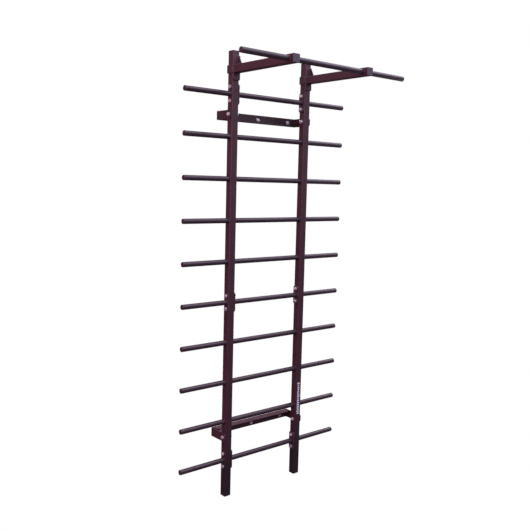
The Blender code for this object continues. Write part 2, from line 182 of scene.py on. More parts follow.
def makeSettledDust():  # a thin haze on what faces up
    tree, given, out = newTree(
        "settledDust",
        "ShaderNodeTree",
        [("Vector", "Vector", None), ("Amount", "Float", 0.2)],
        [("Mask", "Float")],
    )
    facing = addNode(tree, "ShaderNodeNewGeometry").outputs["Normal"]
    up = addNode(tree, "ShaderNodeSeparateXYZ", {0: facing}).outputs["Z"]
    lying = addNode(tree, "ShaderNodeMapRange", {"Value": up, "From Min": 0.35, "From Max": 0.95})
    cloud = addNode(
        tree,
        "ShaderNodeTexNoise",
        {"Vector": given["Vector"], "Scale": 60.0, "Detail": 8.0, "Roughness": 0.7},
    )
    drift = addNode(
        tree, "ShaderNodeMapRange", {"Value": cloud.outputs["Fac"], "From Min": 0.35, "From Max": 0.75}
    )
    dust = maths(tree, "MULTIPLY", lying.outputs["Result"], drift.outputs["Result"])
    tree.links.new(maths(tree, "MULTIPLY", dust, given["Amount"]), out["Mask"])
    return tree


def makePaintedFloorShade():  # painted shade: the coat darkens towards the floor, standing in for light that falls off near the floor
    tree, given, out = newTree(
        "paintedFloorShade",
        "ShaderNodeTree",
        [
            ("Vector", "Vector", None),
            ("Top", "Float", 0.3),
            ("Full", "Float", 0.1),
            ("Amount", "Float", 0.5),
        ],
        [("Mask", "Float")],
    )
    height = addNode(tree, "ShaderNodeSeparateXYZ", {0: given["Vector"]}).outputs["Z"]
    cloud = addNode(tree, "ShaderNodeTexNoise", {"Vector": given["Vector"], "Scale": 18.0, "Detail": 6.0})
    wander = maths(tree, "MULTIPLY", maths(tree, "SUBTRACT", cloud.outputs["Fac"], 0.5), 0.08)
    below = maths(tree, "SUBTRACT", given["Top"], maths(tree, "ADD", height, wander))
    share = maths(tree, "DIVIDE", below, maths(tree, "SUBTRACT", given["Top"], given["Full"]), clamp=True)
    tree.links.new(maths(tree, "MULTIPLY", share, given["Amount"]), out["Mask"])
    return tree


shaderGroups = {
    "grain": makeFineGrain(),
    "rub": makeEdgeRub(),
    "dust": makeSettledDust(),
    "paintedShade": makePaintedFloorShade(),
}


def groupNode(tree, name, inputs):
    return addNode(tree, "ShaderNodeGroup", inputs, node_tree=shaderGroups[name]).outputs


def mixed(tree, factor, first, second):
    node = addNode(tree, "ShaderNodeMix", data_type="RGBA")
    sockets = node.inputs["Factor"], node.inputs[6], node.inputs[7]
    for socket, value in zip(sockets, (factor, first, second)):
        if isinstance(value, bpy.types.NodeSocket):
            tree.links.new(value, socket)
        else:
            socket.default_value = (*value, 1.0) if isinstance(value, tuple) else value
    return node.outputs[2]


def startMaterial(name):
    material = bpy.data.materials.new(name)
    material.use_nodes = True
    tree = material.node_tree
    place = addNode(tree, "ShaderNodeTexCoord").outputs["Object"]
    return material, tree, tree.nodes["Principled BSDF"], place


# Materials


def makePowderCoat(name, look):
    material, tree, shader, place = startMaterial(name)
    grain = groupNode(
        tree, "grain", {"Vector": place, "Grain Size": look["grainSize"], "Patch Size": look["patchSize"]}
    )
    dust = groupNode(tree, "dust", {"Vector": place, "Amount": look["dust"]})
    colour = mixed(tree, maths(tree, "MULTIPLY", grain["Mottle"], 0.6), look["colour"], look["lighter"])
    uneven = maths(tree, "MULTIPLY", grain["Mottle"], look["roughSpread"])
    rough = maths(tree, "ADD", uneven, look["rough"])
    if "halfSize" in look:
        box = {"Centre": look["centre"], "Half Size": look["halfSize"], "Width": look["rubWidth"]}
        rub = groupNode(tree, "rub", {"Vector": place, **box})
        worn = maths(tree, "MULTIPLY", rub["Mask"], look["rubAmount"])
        colour = mixed(tree, worn, colour, look["rubColour"])
        rough = maths(tree, "SUBTRACT", rough, maths(tree, "MULTIPLY", rub["Mask"], 0.12))
    # painted shade near the floor: a height mask darkens the colour and roughens the coat
    if "paintedShade" in look:
        reach = {"Top": look["shadeTop"], "Full": look["shadeFull"], "Amount": look["paintedShade"]}
        paintedShade = groupNode(tree, "paintedShade", {"Vector": place, **reach})
        colour = mixed(tree, paintedShade["Mask"], colour, look["shadeColour"])
        rough = maths(tree, "ADD", rough, maths(tree, "MULTIPLY", paintedShade["Mask"], 0.12))
    tree.links.new(mixed(tree, dust["Mask"], colour, look["dustColour"]), shader.inputs["Base Color"])
    dulled = maths(tree, "ADD", rough, maths(tree, "MULTIPLY", dust["Mask"], 0.5))
    tree.links.new(dulled, shader.inputs["Roughness"])
    bump = addNode(
        tree, "ShaderNodeBump", {"Strength": look["bump"], "Distance": 0.0003, "Height": grain["Height"]}
    )
    tree.links.new(bump.outputs["Normal"], shader.inputs["Normal"])
    shader.inputs["Specular IOR Level"].default_value = look["specular"]
    return material


coat = {
    "colour": (0.037, 0.0085, 0.0155),
    "lighter": (0.046, 0.0135, 0.0215),
    "rubColour": (0.20, 0.16, 0.17),
    "dustColour": (0.30, 0.27, 0.29),
    "rubWidth": 0.0022,
    "rubAmount": 0.35,
    "rough": 0.40,
    "roughSpread": 0.08,
    "grainSize": 0.0011,
    "patchSize": 0.09,
    "bump": 0.18,
    "dust": 0.08,
    "specular": 0.5,
}
postCentre, postSize = boxOf("upright_right")
armCentre, armSize = boxOf("arm_right")
armPlateCentre, armPlateSize = boxOf("arm_plate_right")
rungPlateCentre, rungPlateSize = boxOf("rung_plate_right_middle")
collarCentre, collarSize = boxOf("arm_collar_right")
# painted shade for the posts: darker towards their feet
floorShaded = {"paintedShade": 0.97, "shadeTop": 0.37, "shadeFull": 0.14, "shadeColour": (0.008, 0.0022, 0.0058)}
postCoat = makePowderCoat(
    "postPowderCoat", {**coat, **floorShaded, "centre": postCentre, "halfSize": postSize / 2}
)
armCoat = makePowderCoat("armPowderCoat", {**coat, "centre": armCentre, "halfSize": armSize / 2})
armPlateCoat = makePowderCoat(
    "armPlatePowderCoat",
    {**coat, "centre": armPlateCentre, "halfSize": armPlateSize / 2, "rubAmount": 0.5},
)
rungPlateHalf = Vector((rungPlateSize.x / 2, rungPlateSize.y / 2, 5.0))  # only its long edges are rubbed
rungPlateCoat = makePowderCoat(
    "rungPlatePowderCoat", {**coat, "centre": rungPlateCentre, "halfSize": rungPlateHalf}
)
collarCoat = makePowderCoat(
    "collarPowderCoat", {**coat, "centre": collarCentre, "halfSize": collarSize / 2}
)
bracketCoat = makePowderCoat("bracketPowderCoat", {**coat, "patchSize": 0.05, "dust": 0.07})
# a darker copy of the bracket coat: painted shade on the upper bracket, which is the same part as the
# lower one
shadedUpperBracketCoat = makePowderCoat(
    "shadedUpperBracketPowderCoat",
    {
        **coat,
        "colour": (0.026, 0.0065, 0.012),
        "lighter": (0.034, 0.010, 0.016),
        "patchSize": 0.05,
        "dust": 0.05,
    },
)
rungLook = {
    **coat,
    "colour": (0.021, 0.0085, 0.0145),
    "lighter": (0.029, 0.012, 0.020),
    "grainSize": 0.0008,
    "bump": 0.08,
    "specular": 0.6,
}
rungCoat = makePowderCoat(
    "rungPowderCoat",
    {**rungLook, "rough": 0.31, "patchSize": 0.035, "dust": 0.05},
)
barCoat = makePowderCoat(
    "barPowderCoat",
    {**rungLook, "rough": 0.37, "patchSize": 0.03, "dust": 0.03},
)
weldCoat = makePowderCoat(
    "weldPowderCoat", {**coat, "grainSize": 0.0006, "patchSize": 0.006, "rough": 0.36, "bump": 0.4}
)

plastic = {
    "colour": (0.036, 0.011, 0.018),
    "lighter": (0.046, 0.018, 0.026),
    "dustColour": (0.20, 0.16, 0.18),
    "rough": 0.50,
    "roughSpread": 0.10,
    "grainSize": 0.0005,
    "patchSize": 0.02,
    "bump": 0.35,
    "dust": 0.10,
    "specular": 0.45,
}
capPlastic = makePowderCoat("capPlastic", {**plastic, "dust": 0.04, "specular": 0.3})
footPlastic = makePowderCoat(
    "footPlastic", {**plastic, "colour": (0.014, 0.007, 0.013), "lighter": (0.020, 0.010, 0.018)}
)
plugPlastic = makePowderCoat(
    "plugPlastic", {**plastic, "colour": (0.020, 0.006, 0.010), "lighter": (0.028, 0.010, 0.015)}
)
armCapPlastic = makePowderCoat(
    "armCapPlastic", {**plastic, "colour": (0.062, 0.040, 0.056), "lighter": (0.078, 0.053, 0.072)}
)


def makeZinc(name, look):
    material, tree, shader, place = startMaterial(name)
    grain = groupNode(
        tree, "grain", {"Vector": place, "Grain Size": look["grainSize"], "Patch Size": look["patchSize"]}
    )
    dust = groupNode(tree, "dust", {"Vector": place, "Amount": look["dust"]})
    squeezed = addNode(tree, "ShaderNodeMapping", {"Vector": place, "Scale": (220.0, 2600.0, 2600.0)})
    streaks = addNode(
        tree, "ShaderNodeTexNoise", {"Vector": squeezed.outputs[0], "Scale": 1.0, "Detail": 3.0}
    )
    colour = mixed(tree, grain["Mottle"], look["colour"], look["tint"])
    tree.links.new(mixed(tree, dust["Mask"], colour, look["dustColour"]), shader.inputs["Base Color"])
    uneven = maths(tree, "MULTIPLY", streaks.outputs["Fac"], look["roughSpread"])
    rough = maths(tree, "ADD", uneven, look["rough"])
    tree.links.new(rough, shader.inputs["Roughness"])
    height = maths(tree, "ADD", grain["Height"], streaks.outputs["Fac"])
    bump = addNode(
        tree, "ShaderNodeBump", {"Strength": look["bump"], "Distance": 0.0001, "Height": height}
    )
    tree.links.new(bump.outputs["Normal"], shader.inputs["Normal"])
    shader.inputs["Metallic"].default_value = 0.85
    return material


zincPlate = makeZinc(
    "zincPlate",
    {
        "colour": (0.74, 0.71, 0.76),
        "tint": (0.62, 0.58, 0.61),
        "dustColour": (0.45, 0.42, 0.42),
        "rough": 0.34,
        "roughSpread": 0.16,
        "grainSize": 0.0007,
        "patchSize": 0.004,
        "bump": 0.3,
        "dust": 0.2,
    },
)


def makePrint(name, look):
    material, tree, shader, place = startMaterial(name)
    grain = groupNode(
        tree, "grain", {"Vector": place, "Grain Size": 0.0005, "Patch Size": look["patchSize"]}
    )
    tree.links.new(
        mixed(tree, grain["Mottle"], look["colour"], look["worn"]), shader.inputs["Base Color"]
    )
    rough = maths(tree, "ADD", maths(tree, "MULTIPLY", grain["Mottle"], 0.15), look["rough"])
    tree.links.new(rough, shader.inputs["Roughness"])
    bump = addNode(
        tree, "ShaderNodeBump", {"Strength": 0.2, "Distance": 0.0002, "Height": grain["Height"]}
    )
    tree.links.new(bump.outputs["Normal"], shader.inputs["Normal"])
    return material


paleInk = makePrint(
    "paleInk",
    {"colour": (0.72, 0.70, 0.78), "worn": (0.56, 0.53, 0.61), "patchSize": 0.004, "rough": 0.5},
)
print("materials made:", len(bpy.data.materials))


# Mesh making


def meshFrom(shape, name="shape"):
    bmesh.ops.recalc_face_normals(shape, faces=shape.faces[:])
    mesh = bpy.data.meshes.new(name)
    shape.to_mesh(mesh)
    shape.free()
    return mesh


def evaluatedMesh(carrier):
    bpy.context.view_layer.update()
    return bpy.data.meshes.new_from_object(carrier.evaluated_get(bpy.context.evaluated_depsgraph_get()))


def roundedBox(size, centre, axis="Z", corner=0.0, steps=5):
    shape = bmesh.new()
    bmesh.ops.create_cube(shape, size=1, matrix=Matrix.Translation(centre) @ Matrix.Diagonal((*size, 1)))
    if corner:
        edges = []
        for edge in shape.edges:
            along = (edge.verts[1].co - edge.verts[0].co).normalized()
            if abs(along[axisNumber[axis]]) > 0.99:
                edges.append(edge)
        bmesh.ops.bevel(shape, geom=edges, offset=corner, segments=steps, profile=0.5, affect="EDGES")
    return meshFrom(shape)


def lathe(outline, count, axis="Z", centre=(0, 0, 0), ring=False):
    # outline holds (along, radius) points; a ring joins its last point to its first
    shape = bmesh.new()
    turns = [2 * math.pi * step / count for step in range(count)]
    loops = []
    for along, radius in outline:
        if radius < 1e-7:
            loops.append([shape.verts.new((0, 0, along))] * count)
        else:
            loops.append(
                [shape.verts.new((radius * math.cos(t), radius * math.sin(t), along)) for t in turns]
            )
    for first, second in zip(loops, loops[1:] + loops[:1] if ring else loops[1:]):
        for step in range(count):
            after = (step + 1) % count
            corners = [first[step], first[after], second[after], second[step]]
            shape.faces.new(list(dict.fromkeys(corners)))
    bmesh.ops.transform(shape, matrix=Matrix.Translation(centre) @ axisTurn[axis], verts=shape.verts)
    return meshFrom(shape)


def extruded(outline, low, high, turn):
    # a flat outline in XY, drawn out along Z from low to high, then turned into place
    shape = bmesh.new()
    under = [shape.verts.new((x, y, low)) for x, y in outline]
    over = [shape.verts.new((x, y, high)) for x, y in outline]
    shape.faces.new(under)
    shape.faces.new(over)
    for step in range(len(outline)):
        after = (step + 1) % len(outline)
        shape.faces.new((under[step], under[after], over[after], over[step]))
    bmesh.ops.transform(shape, matrix=turn, verts=shape.verts)
    return meshFrom(shape)


def arc(centre, radius, start, end, steps):  # in degrees
    turns = [math.radians(start + (end - start) * step / steps) for step in range(steps + 1)]
    return [(centre[0] + radius * math.cos(t), centre[1] + radius * math.sin(t)) for t in turns]


def drill(radius, axis, centre, half, count=40):
    outline = [(-half, 0), (-half, radius), (half, radius), (half, 0)]
    return "DIFFERENCE", lathe(outline, count, axis, centre)


def combined(mesh, changes):
    base = bpy.data.objects.new("base", mesh)
    sceneObjects.link(base)
    helpers = []
    for operation, other in changes:
        helper = bpy.data.objects.new("helper", other)
        sceneObjects.link(helper)
        helpers.append(helper)
        modifier = base.modifiers.new("combine", "BOOLEAN")
        modifier.operation, modifier.solver, modifier.object = operation, "EXACT", helper
    result = evaluatedMesh(base)
    for spent in [base, *helpers]:
        bpy.data.objects.remove(spent)
    return result


# rounds the sharp edges and keeps flat faces flat in shading
def softened(mesh, width, steps=2, sharpAngle=40):
    mesh.shade_smooth()
    carrier = bpy.data.objects.new("carrier", mesh)
    sceneObjects.link(carrier)
    if width:
        bevel = carrier.modifiers.new("soft", "BEVEL")
        bevel.width, bevel.segments, bevel.limit_method = width, steps, "ANGLE"
        bevel.angle_limit = math.radians(sharpAngle)
        bevel.miter_outer = "MITER_ARC"
    normals = carrier.modifiers.new("flat", "WEIGHTED_NORMAL")
    normals.weight, normals.keep_sharp = 60, True
    result = evaluatedMesh(carrier)
    bpy.data.objects.remove(carrier)
    return result


def facingOut(mesh):
    shape = bmesh.new()
    shape.from_mesh(mesh)
    bmesh.ops.recalc_face_normals(shape, faces=shape.faces[:])
    shape.to_mesh(mesh)
    shape.free()
    return mesh


def smoothByAngle(mesh, angle=32):
    mesh.shade_smooth()
    mesh.set_sharp_from_angle(angle=math.radians(angle))
    return mesh


def joined(meshes):
    shape = bmesh.new()
    for mesh in meshes:
        shape.from_mesh(mesh)
    whole = bpy.data.meshes.new("joined")
    shape.to_mesh(whole)
    shape.free()
    return whole


def addPiece(name, mesh, material, slotName, *replaced):
    mesh.name = name
    mesh.materials.clear()
    mesh.materials.append(material)
    piece = bpy.data.objects.new(name, mesh)
    sceneObjects.link(piece)
    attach(piece, "root")
    if replaced:
        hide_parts(*replaced)
    return piece


# Geometry Nodes


def grown(mesh, tree, values):  # runs a tree on a mesh and gives back a plain mesh
    carrier = bpy.data.objects.new("carrier", mesh)
    sceneObjects.link(carrier)
    modifier = carrier.modifiers.new(tree.name, "NODES")
    modifier.node_group = tree
    for item in tree.interface.items_tree:
        if item.item_type == "SOCKET" and item.in_out == "INPUT" and item.name in values:
            modifier[item.identifier] = values[item.name]
    result = evaluatedMesh(carrier)
    carrier.modifiers.remove(modifier)
    bpy.data.objects.remove(carrier)
    return result


def endTree(tree, geometry, material, out):
    real = addNode(tree, "GeometryNodeRealizeInstances", {"Geometry": geometry})
    painted = addNode(
        tree, "GeometryNodeSetMaterial", {"Geometry": real.outputs[0], "Material": material}
    )
    tree.links.new(painted.outputs[0], out["Geometry"])
    return tree


def makePlacedTree():  # one shape on every point, its Z along the point's outwards vector
    tree, given, out = newTree(
        "piecesOnPoints",
        "GeometryNodeTree",
        [
            ("Geometry", "Geometry", None),
            ("Shape", "Object", None),
            ("Scale", "Float", 1.0),
            ("Spin", "Float", math.pi),
            ("Seed", "Int", 7),
            ("Material", "Material", None),
        ],
        [("Geometry", "Geometry")],
    )
    shape = addNode(tree, "GeometryNodeObjectInfo", {"Object": given["Shape"]})
    outwards = addNode(
        tree, "GeometryNodeInputNamedAttribute", {"Name": "outwards"}, data_type="FLOAT_VECTOR"
    )
    aim = addNode(
        tree, "FunctionNodeAlignRotationToVector", {"Vector": outwards.outputs["Attribute"]}, axis="Z"
    )
    least = maths(tree, "MULTIPLY", given["Spin"], -1.0)
    angle = addNode(tree, "FunctionNodeRandomValue", data_type="FLOAT")
    tree.links.new(least, angle.inputs[2])
    tree.links.new(given["Spin"], angle.inputs[3])
    tree.links.new(given["Seed"], angle.inputs["Seed"])
    spin = addNode(
        tree, "FunctionNodeAxisAngleToRotation", {"Axis": (0.0, 0.0, 1.0), "Angle": angle.outputs[1]}
    )
    turned = addNode(
        tree,
        "FunctionNodeRotateRotation",
        {"Rotation": aim.outputs[0], "Rotate By": spin.outputs[0]},
        rotation_space="LOCAL",
    )
    placed = addNode(
        tree,
        "GeometryNodeInstanceOnPoints",
        {
            "Points": given["Geometry"],
            "Instance": shape.outputs["Geometry"],
            "Rotation": turned.outputs[0],
            "Scale": given["Scale"],
        },
    )
    return endTree(tree, placed.outputs[0], given["Material"], out)


def makeWeldTree():  # a rippled bead along every chain of edges
    tree, given, out = newTree(
        "weldBead",
        "GeometryNodeTree",
        [
            ("Geometry", "Geometry", None),
            ("Bead Radius", "Float", 0.002),
            ("Ripple Pitch", "Float", 0.002),
            ("Ripple Depth", "Float", 0.0002),
            ("Wander", "Float", 0.0003),
            ("Step", "Float", 0.0006),
            ("Seed", "Int", 3),
            ("Material", "Material", None),
        ],
        [("Geometry", "Geometry")],
    )
    chains = addNode(tree, "GeometryNodeMeshToCurve", {"Mesh": given["Geometry"]})
    fine = addNode(
        tree,
        "GeometryNodeResampleCurve",
        {"Curve": chains.outputs[0], "Length": given["Step"]},
        mode="LENGTH",
    )
    along = addNode(tree, "GeometryNodeSplineParameter").outputs["Length"]
    kept = addNode(
        tree,
        "GeometryNodeStoreNamedAttribute",
        {"Geometry": fine.outputs[0], "Name": "along"},
        data_type="FLOAT",
        domain="POINT",
    )
    tree.links.new(along, kept.inputs["Value"])
    section = addNode(
        tree, "GeometryNodeCurvePrimitiveCircle", {"Resolution": 8, "Radius": given["Bead Radius"]}
    )
    bead = addNode(
        tree,
        "GeometryNodeCurveToMesh",
        {"Curve": kept.outputs[0], "Profile Curve": section.outputs[0], "Fill Caps": True},
    )
    run = addNode(tree, "GeometryNodeInputNamedAttribute", {"Name": "along"}, data_type="FLOAT")
    ripples = maths(tree, "DIVIDE", run.outputs["Attribute"], given["Ripple Pitch"])
    phase = maths(tree, "MULTIPLY", ripples, 2 * math.pi)
    ripple = maths(tree, "MULTIPLY", maths(tree, "SINE", phase), given["Ripple Depth"])
    place = addNode(tree, "GeometryNodeInputPosition").outputs[0]
    noise = addNode(
        tree,
        "ShaderNodeTexNoise",
        {"Vector": place, "W": given["Seed"], "Scale": 260.0, "Detail": 1.0},
        noise_dimensions="4D",
    )
    centred = maths(tree, "SUBTRACT", noise.outputs["Fac"], 0.5)
    drift = maths(tree, "MULTIPLY", centred, given["Wander"])
    outwards = addNode(tree, "GeometryNodeInputNormal").outputs[0]
    push = addNode(tree, "ShaderNodeVectorMath", {0: outwards}, operation="SCALE")
    tree.links.new(maths(tree, "ADD", ripple, drift), push.inputs["Scale"])
    moved = addNode(
        tree, "GeometryNodeSetPosition", {"Geometry": bead.outputs[0], "Offset": push.outputs[0]}
    )
    smooth = addNode(tree, "GeometryNodeSetShadeSmooth", {"Geometry": moved.outputs[0]})
    return endTree(tree, smooth.outputs[0], given["Material"], out)


def makeTubeTree():  # a round tube along Z on every point: a ring swept with the section of its wall
    tree, given, out = newTree(
        "roundTube",
        "GeometryNodeTree",
        [
            ("Geometry", "Geometry", None),
            ("Length", "Float", 1.0),
            ("Radius", "Float", 0.0135),
            ("Wall", "Float", 0.002),
            ("Edge Radius", "Float", 0.0005),
            ("Sides", "Int", 64),
            ("Turn", "Rotation", None),
            ("Material", "Material", None),
        ],
        [("Geometry", "Geometry")],
    )
    middle = maths(tree, "SUBTRACT", given["Radius"], maths(tree, "MULTIPLY", given["Wall"], 0.5))
    path = addNode(
        tree, "GeometryNodeCurvePrimitiveCircle", {"Resolution": given["Sides"], "Radius": middle}
    )
    section = addNode(
        tree,
        "GeometryNodeCurvePrimitiveQuadrilateral",
        {"Width": given["Wall"], "Height": given["Length"]},
    )
    rounded = addNode(
        tree,
        "GeometryNodeFilletCurve",
        {"Curve": section.outputs[0], "Radius": given["Edge Radius"], "Count": 3},
        mode="POLY",
    )
    tube = addNode(
        tree, "GeometryNodeCurveToMesh", {"Curve": path.outputs[0], "Profile Curve": rounded.outputs[0]}
    )
    placed = addNode(
        tree,
        "GeometryNodeInstanceOnPoints",
        {"Points": given["Geometry"], "Instance": tube.outputs[0], "Rotation": given["Turn"]},
    )
    return endTree(tree, placed.outputs[0], given["Material"], out)


placedTree, weldTree, tubeTree = makePlacedTree(), makeWeldTree(), makeTubeTree()


def pointsMesh(places):  # (point, outwards) pairs
    mesh = bpy.data.meshes.new("points")
    mesh.from_pydata([point for point, outwards in places], [], [])
    store = mesh.attributes.new("outwards", "FLOAT_VECTOR", "POINT")
    for item, (point, outwards) in zip(store.data, places):
        item.vector = outwards
    return mesh


def placeShapes(name, mesh, places, material, slotName, replaced, seed=7):
    shape = bpy.data.objects.new("shape", mesh)
    sceneObjects.link(shape)
    values = {"Shape": shape, "Spin": math.pi, "Seed": seed, "Material": material}
    result = grown(pointsMesh(places), placedTree, values)
    bpy.data.objects.remove(shape)
    return addPiece(name, result, material, slotName, *replaced)


# Rungs and the pull-up bar

tubeLook = {"wall": 0.002, "edge": 0.0005, "sides": 64}
rungNames = sorted(name for name in frame["nodes"] if name.startswith("rung_") and name[5:].isdigit())


def addRoundTube(name, node, material):
    centre, size = boxOf(node)
    values = {
        "Length": size.x,
        "Radius": size.z / 2,
        "Wall": tubeLook["wall"],
        "Edge Radius": tubeLook["edge"],
        "Sides": tubeLook["sides"],
        "Turn": (0.0, math.pi / 2, 0.0),
        "Material": material,
    }
    mesh = smoothByAngle(grown(pointsMesh([(centre, (0, 0, 1))]), tubeTree, values))
    return addPiece(name, facingOut(mesh), material, "black_steel", node)


for name in rungNames:
    addRoundTube(name.replace("rung_", "rungTube"), name, rungCoat)
addRoundTube("pullUpBarTube", "pull_up_bar", barCoat)

plug = {
    "crown": 0.0026,
    "rim": 0.0008,
    "fit": 0.985,
    "reach": 0.016,
    "clear": 0.0003,
    "ribs": 3,
    "ribStart": 0.003,
    "ribPitch": 0.004,
    "ribDepth": 0.0006,
}


def makePlug(radius, wall):  # a domed plug, its rim on z = 0 and its stem inside the tube
    stem, face = radius - wall - 0.0001, radius * plug["fit"]
    rim, clear, depth = plug["rim"], plug["clear"], plug["ribDepth"]
    outline = []
    for degrees in range(0, 90, 15):
        turn = math.radians(degrees)
        outline.append((plug["crown"] * math.cos(turn) + rim * 0.6, face * math.sin(turn)))
    outline += [(rim, face), (rim * 0.4, radius * 0.992), (clear, face), (clear, stem)]
    for rib in range(plug["ribs"]):
        top = -plug["ribStart"] - rib * plug["ribPitch"]
        outline += [(top, stem - depth), (top - depth, stem), (top - 0.0016, stem - depth)]
    outline += [(-plug["reach"], stem - 0.001), (-plug["reach"], stem - 0.003), (-plug["reach"], 0)]
    return smoothByAngle(lathe(outline, 48), 40)


ends = []
for name in [*rungNames, "pull_up_bar"]:
    centre, size = boxOf(name)
    ends += [(centre + Vector((sign * size.x / 2, 0, 0)), (sign, 0, 0)) for sign in sides.values()]
rungRadius = boxOf("rung_01")[1].z / 2
placeShapes("rungPlugs", makePlug(rungRadius, tubeLook["wall"]), ends, plugPlastic, "black_plastic", ())
print("rungs made:", len(rungNames))

# Posts, their caps and feet

post = {
    "corner": 0.003,
    "wall": 0.002,
    "edge": 0.0004,
    "holeGap": 0.0003,
    "boltHole": 0.0053,
    "vent": 0.003,
    "ventRise": 0.018,
}
barCentre, barSize = boxOf("pull_up_bar")
plateBoltNames = [name for name in frame["nodes"] if name.startswith("plate_bolt_")]
bracketBoltNames = [name for name in frame["nodes"] if name.startswith("bracket_bolt_")]
wallBoltNames = [name for name in frame["nodes"] if name.startswith("wall_bolt_")]
collarScrewNames = [name for name in frame["nodes"] if name.startswith("collar_screw_")]


def boltHole(axis, place, half):
    return drill(post["boltHole"], axis, place, half, 24)


def squareTube(node, axis, cuts):
    centre, size = boxOf(node)
    number = axisNumber[axis]
    bore = Vector([value - 2 * post["wall"] for value in size])
    bore[number] = size[number] + 0.02
    hollow = roundedBox(bore, centre, axis, post["corner"] - post["wall"], 3)
    mesh = combined(roundedBox(size, centre, axis, post["corner"], 6), [("DIFFERENCE", hollow), *cuts])
    return softened(mesh, post["edge"])


for side in sides:
    node = "upright_" + side
    centre, size = boxOf(node)
    across = size.x / 2 + 0.01
    cuts = []
    for name in rungNames:
        rungPlace = (centre.x, centre.y, boxOf(name)[0].z)
        cuts.append(drill(rungRadius + post["holeGap"], "X", rungPlace, across))
    for name in plateBoltNames + bracketBoltNames:
        if side in name:
            cuts.append(boltHole("X", (centre.x, centre.y, boxOf(name)[0].z), across))
    screwHeight = boxOf("collar_screw_" + side)[0].z
    cuts.append(boltHole("Y", (centre.x, centre.y + size.y / 2, screwHeight), size.y / 4))
    if side == "left":
        vent = (centre.x, centre.y - size.y / 2, boxOf("rung_10")[0].z + post["ventRise"])
        cuts.append(drill(post["vent"], "Y", vent, 0.004, 24))
    addPiece(side + "PostTube", squareTube(node, "Z", cuts), postCoat, "black_steel", node)

cap = {
    "thick": 0.004,
    "corner": 0.003,
    "edge": 0.0014,
    "stem": 0.0354,
    "core": 0.0324,
    "coreCorner": 0.002,
    "fins": 3,
    "fin": 0.0012,
    "finStart": 0.003,
    "finGap": 0.004,
    "ridges": 3,
    "ridgeHeight": 0.0004,
}


def thinPlate(wide, height, corner):
    plate = roundedBox((wide, wide, cap["fin"]), (0, 0, height), "Z", corner, 3)
    return softened(plate, 0.0003, 1)


def makeCap(side, depth, ridged):  # its show face is at z = 0 and its stem points along +Z
    thick, core = cap["thick"], cap["core"]
    plate = roundedBox((side, side, thick), (0, 0, thick / 2), "Z", cap["corner"], 6)
    low, high = thick * 0.8, depth
    stem = roundedBox((core, core, high - low), (0, 0, (low + high) / 2), "Z", cap["coreCorner"], 3)
    parts = [softened(plate, cap["edge"], 4), stem]
    for fin in range(cap["fins"]):
        height = thick + cap["finStart"] + fin * cap["finGap"]
        parts.append(thinPlate(cap["stem"], height, cap["fin"]))
    if ridged:
        for ridge in range(cap["ridges"]):
            wide = side * (0.78 - 0.22 * ridge)
            parts.append(thinPlate(wide, cap["ridgeHeight"], cap["coreCorner"]))
    return smoothByAngle(joined(parts), 45)


def placed(mesh, matrix):
    mesh.transform(matrix)
    return mesh


for side in sides:
    for label, node, turn, material in (
        ("FootPad", "foot_" + side, Matrix.Identity(4), footPlastic),
        ("TopCap", "top_cap_" + side, Matrix.Rotation(math.pi, 4, "X"), capPlastic),
        ("ArmCap", "arm_cap_" + side, Matrix.Rotation(-math.pi / 2, 4, "X"), armCapPlastic),
    ):
        centre, size = boxOf(node)
        depth = min(size)
        face = centre - turn.to_3x3() @ Vector((0, 0, depth / 2))
        mesh = placed(makeCap(max(size), depth, label == "FootPad"), Matrix.Translation(face) @ turn)
        addPiece(side + label, mesh, material, "black_plastic", node)
print("posts and caps made")

# Plates bolted over three of the rungs

rungPlate = {"clip": 0.008, "edge": 0.0006}
for side in sides:
    for level in ("lower", "middle", "upper"):
        node = f"rung_plate_{side}_{level}"
        centre, size = boxOf(node)
        cuts = [drill(rungRadius + post["holeGap"], "X", centre, size.x)]
        for place in "ab":
            hole = boxOf(f"plate_bolt_{side}_{level}_{place}")[0]
            cuts.append(boltHole("X", (centre.x, hole.y, hole.z), size.x))
        mesh = combined(roundedBox(size, centre, "X", rungPlate["clip"], 1), cuts)
        mesh = softened(mesh, rungPlate["edge"])
        addPiece(f"{side}{level.title()}RungPlate", mesh, rungPlateCoat, "black_steel", node)

# Arms, their plates, gussets and collars

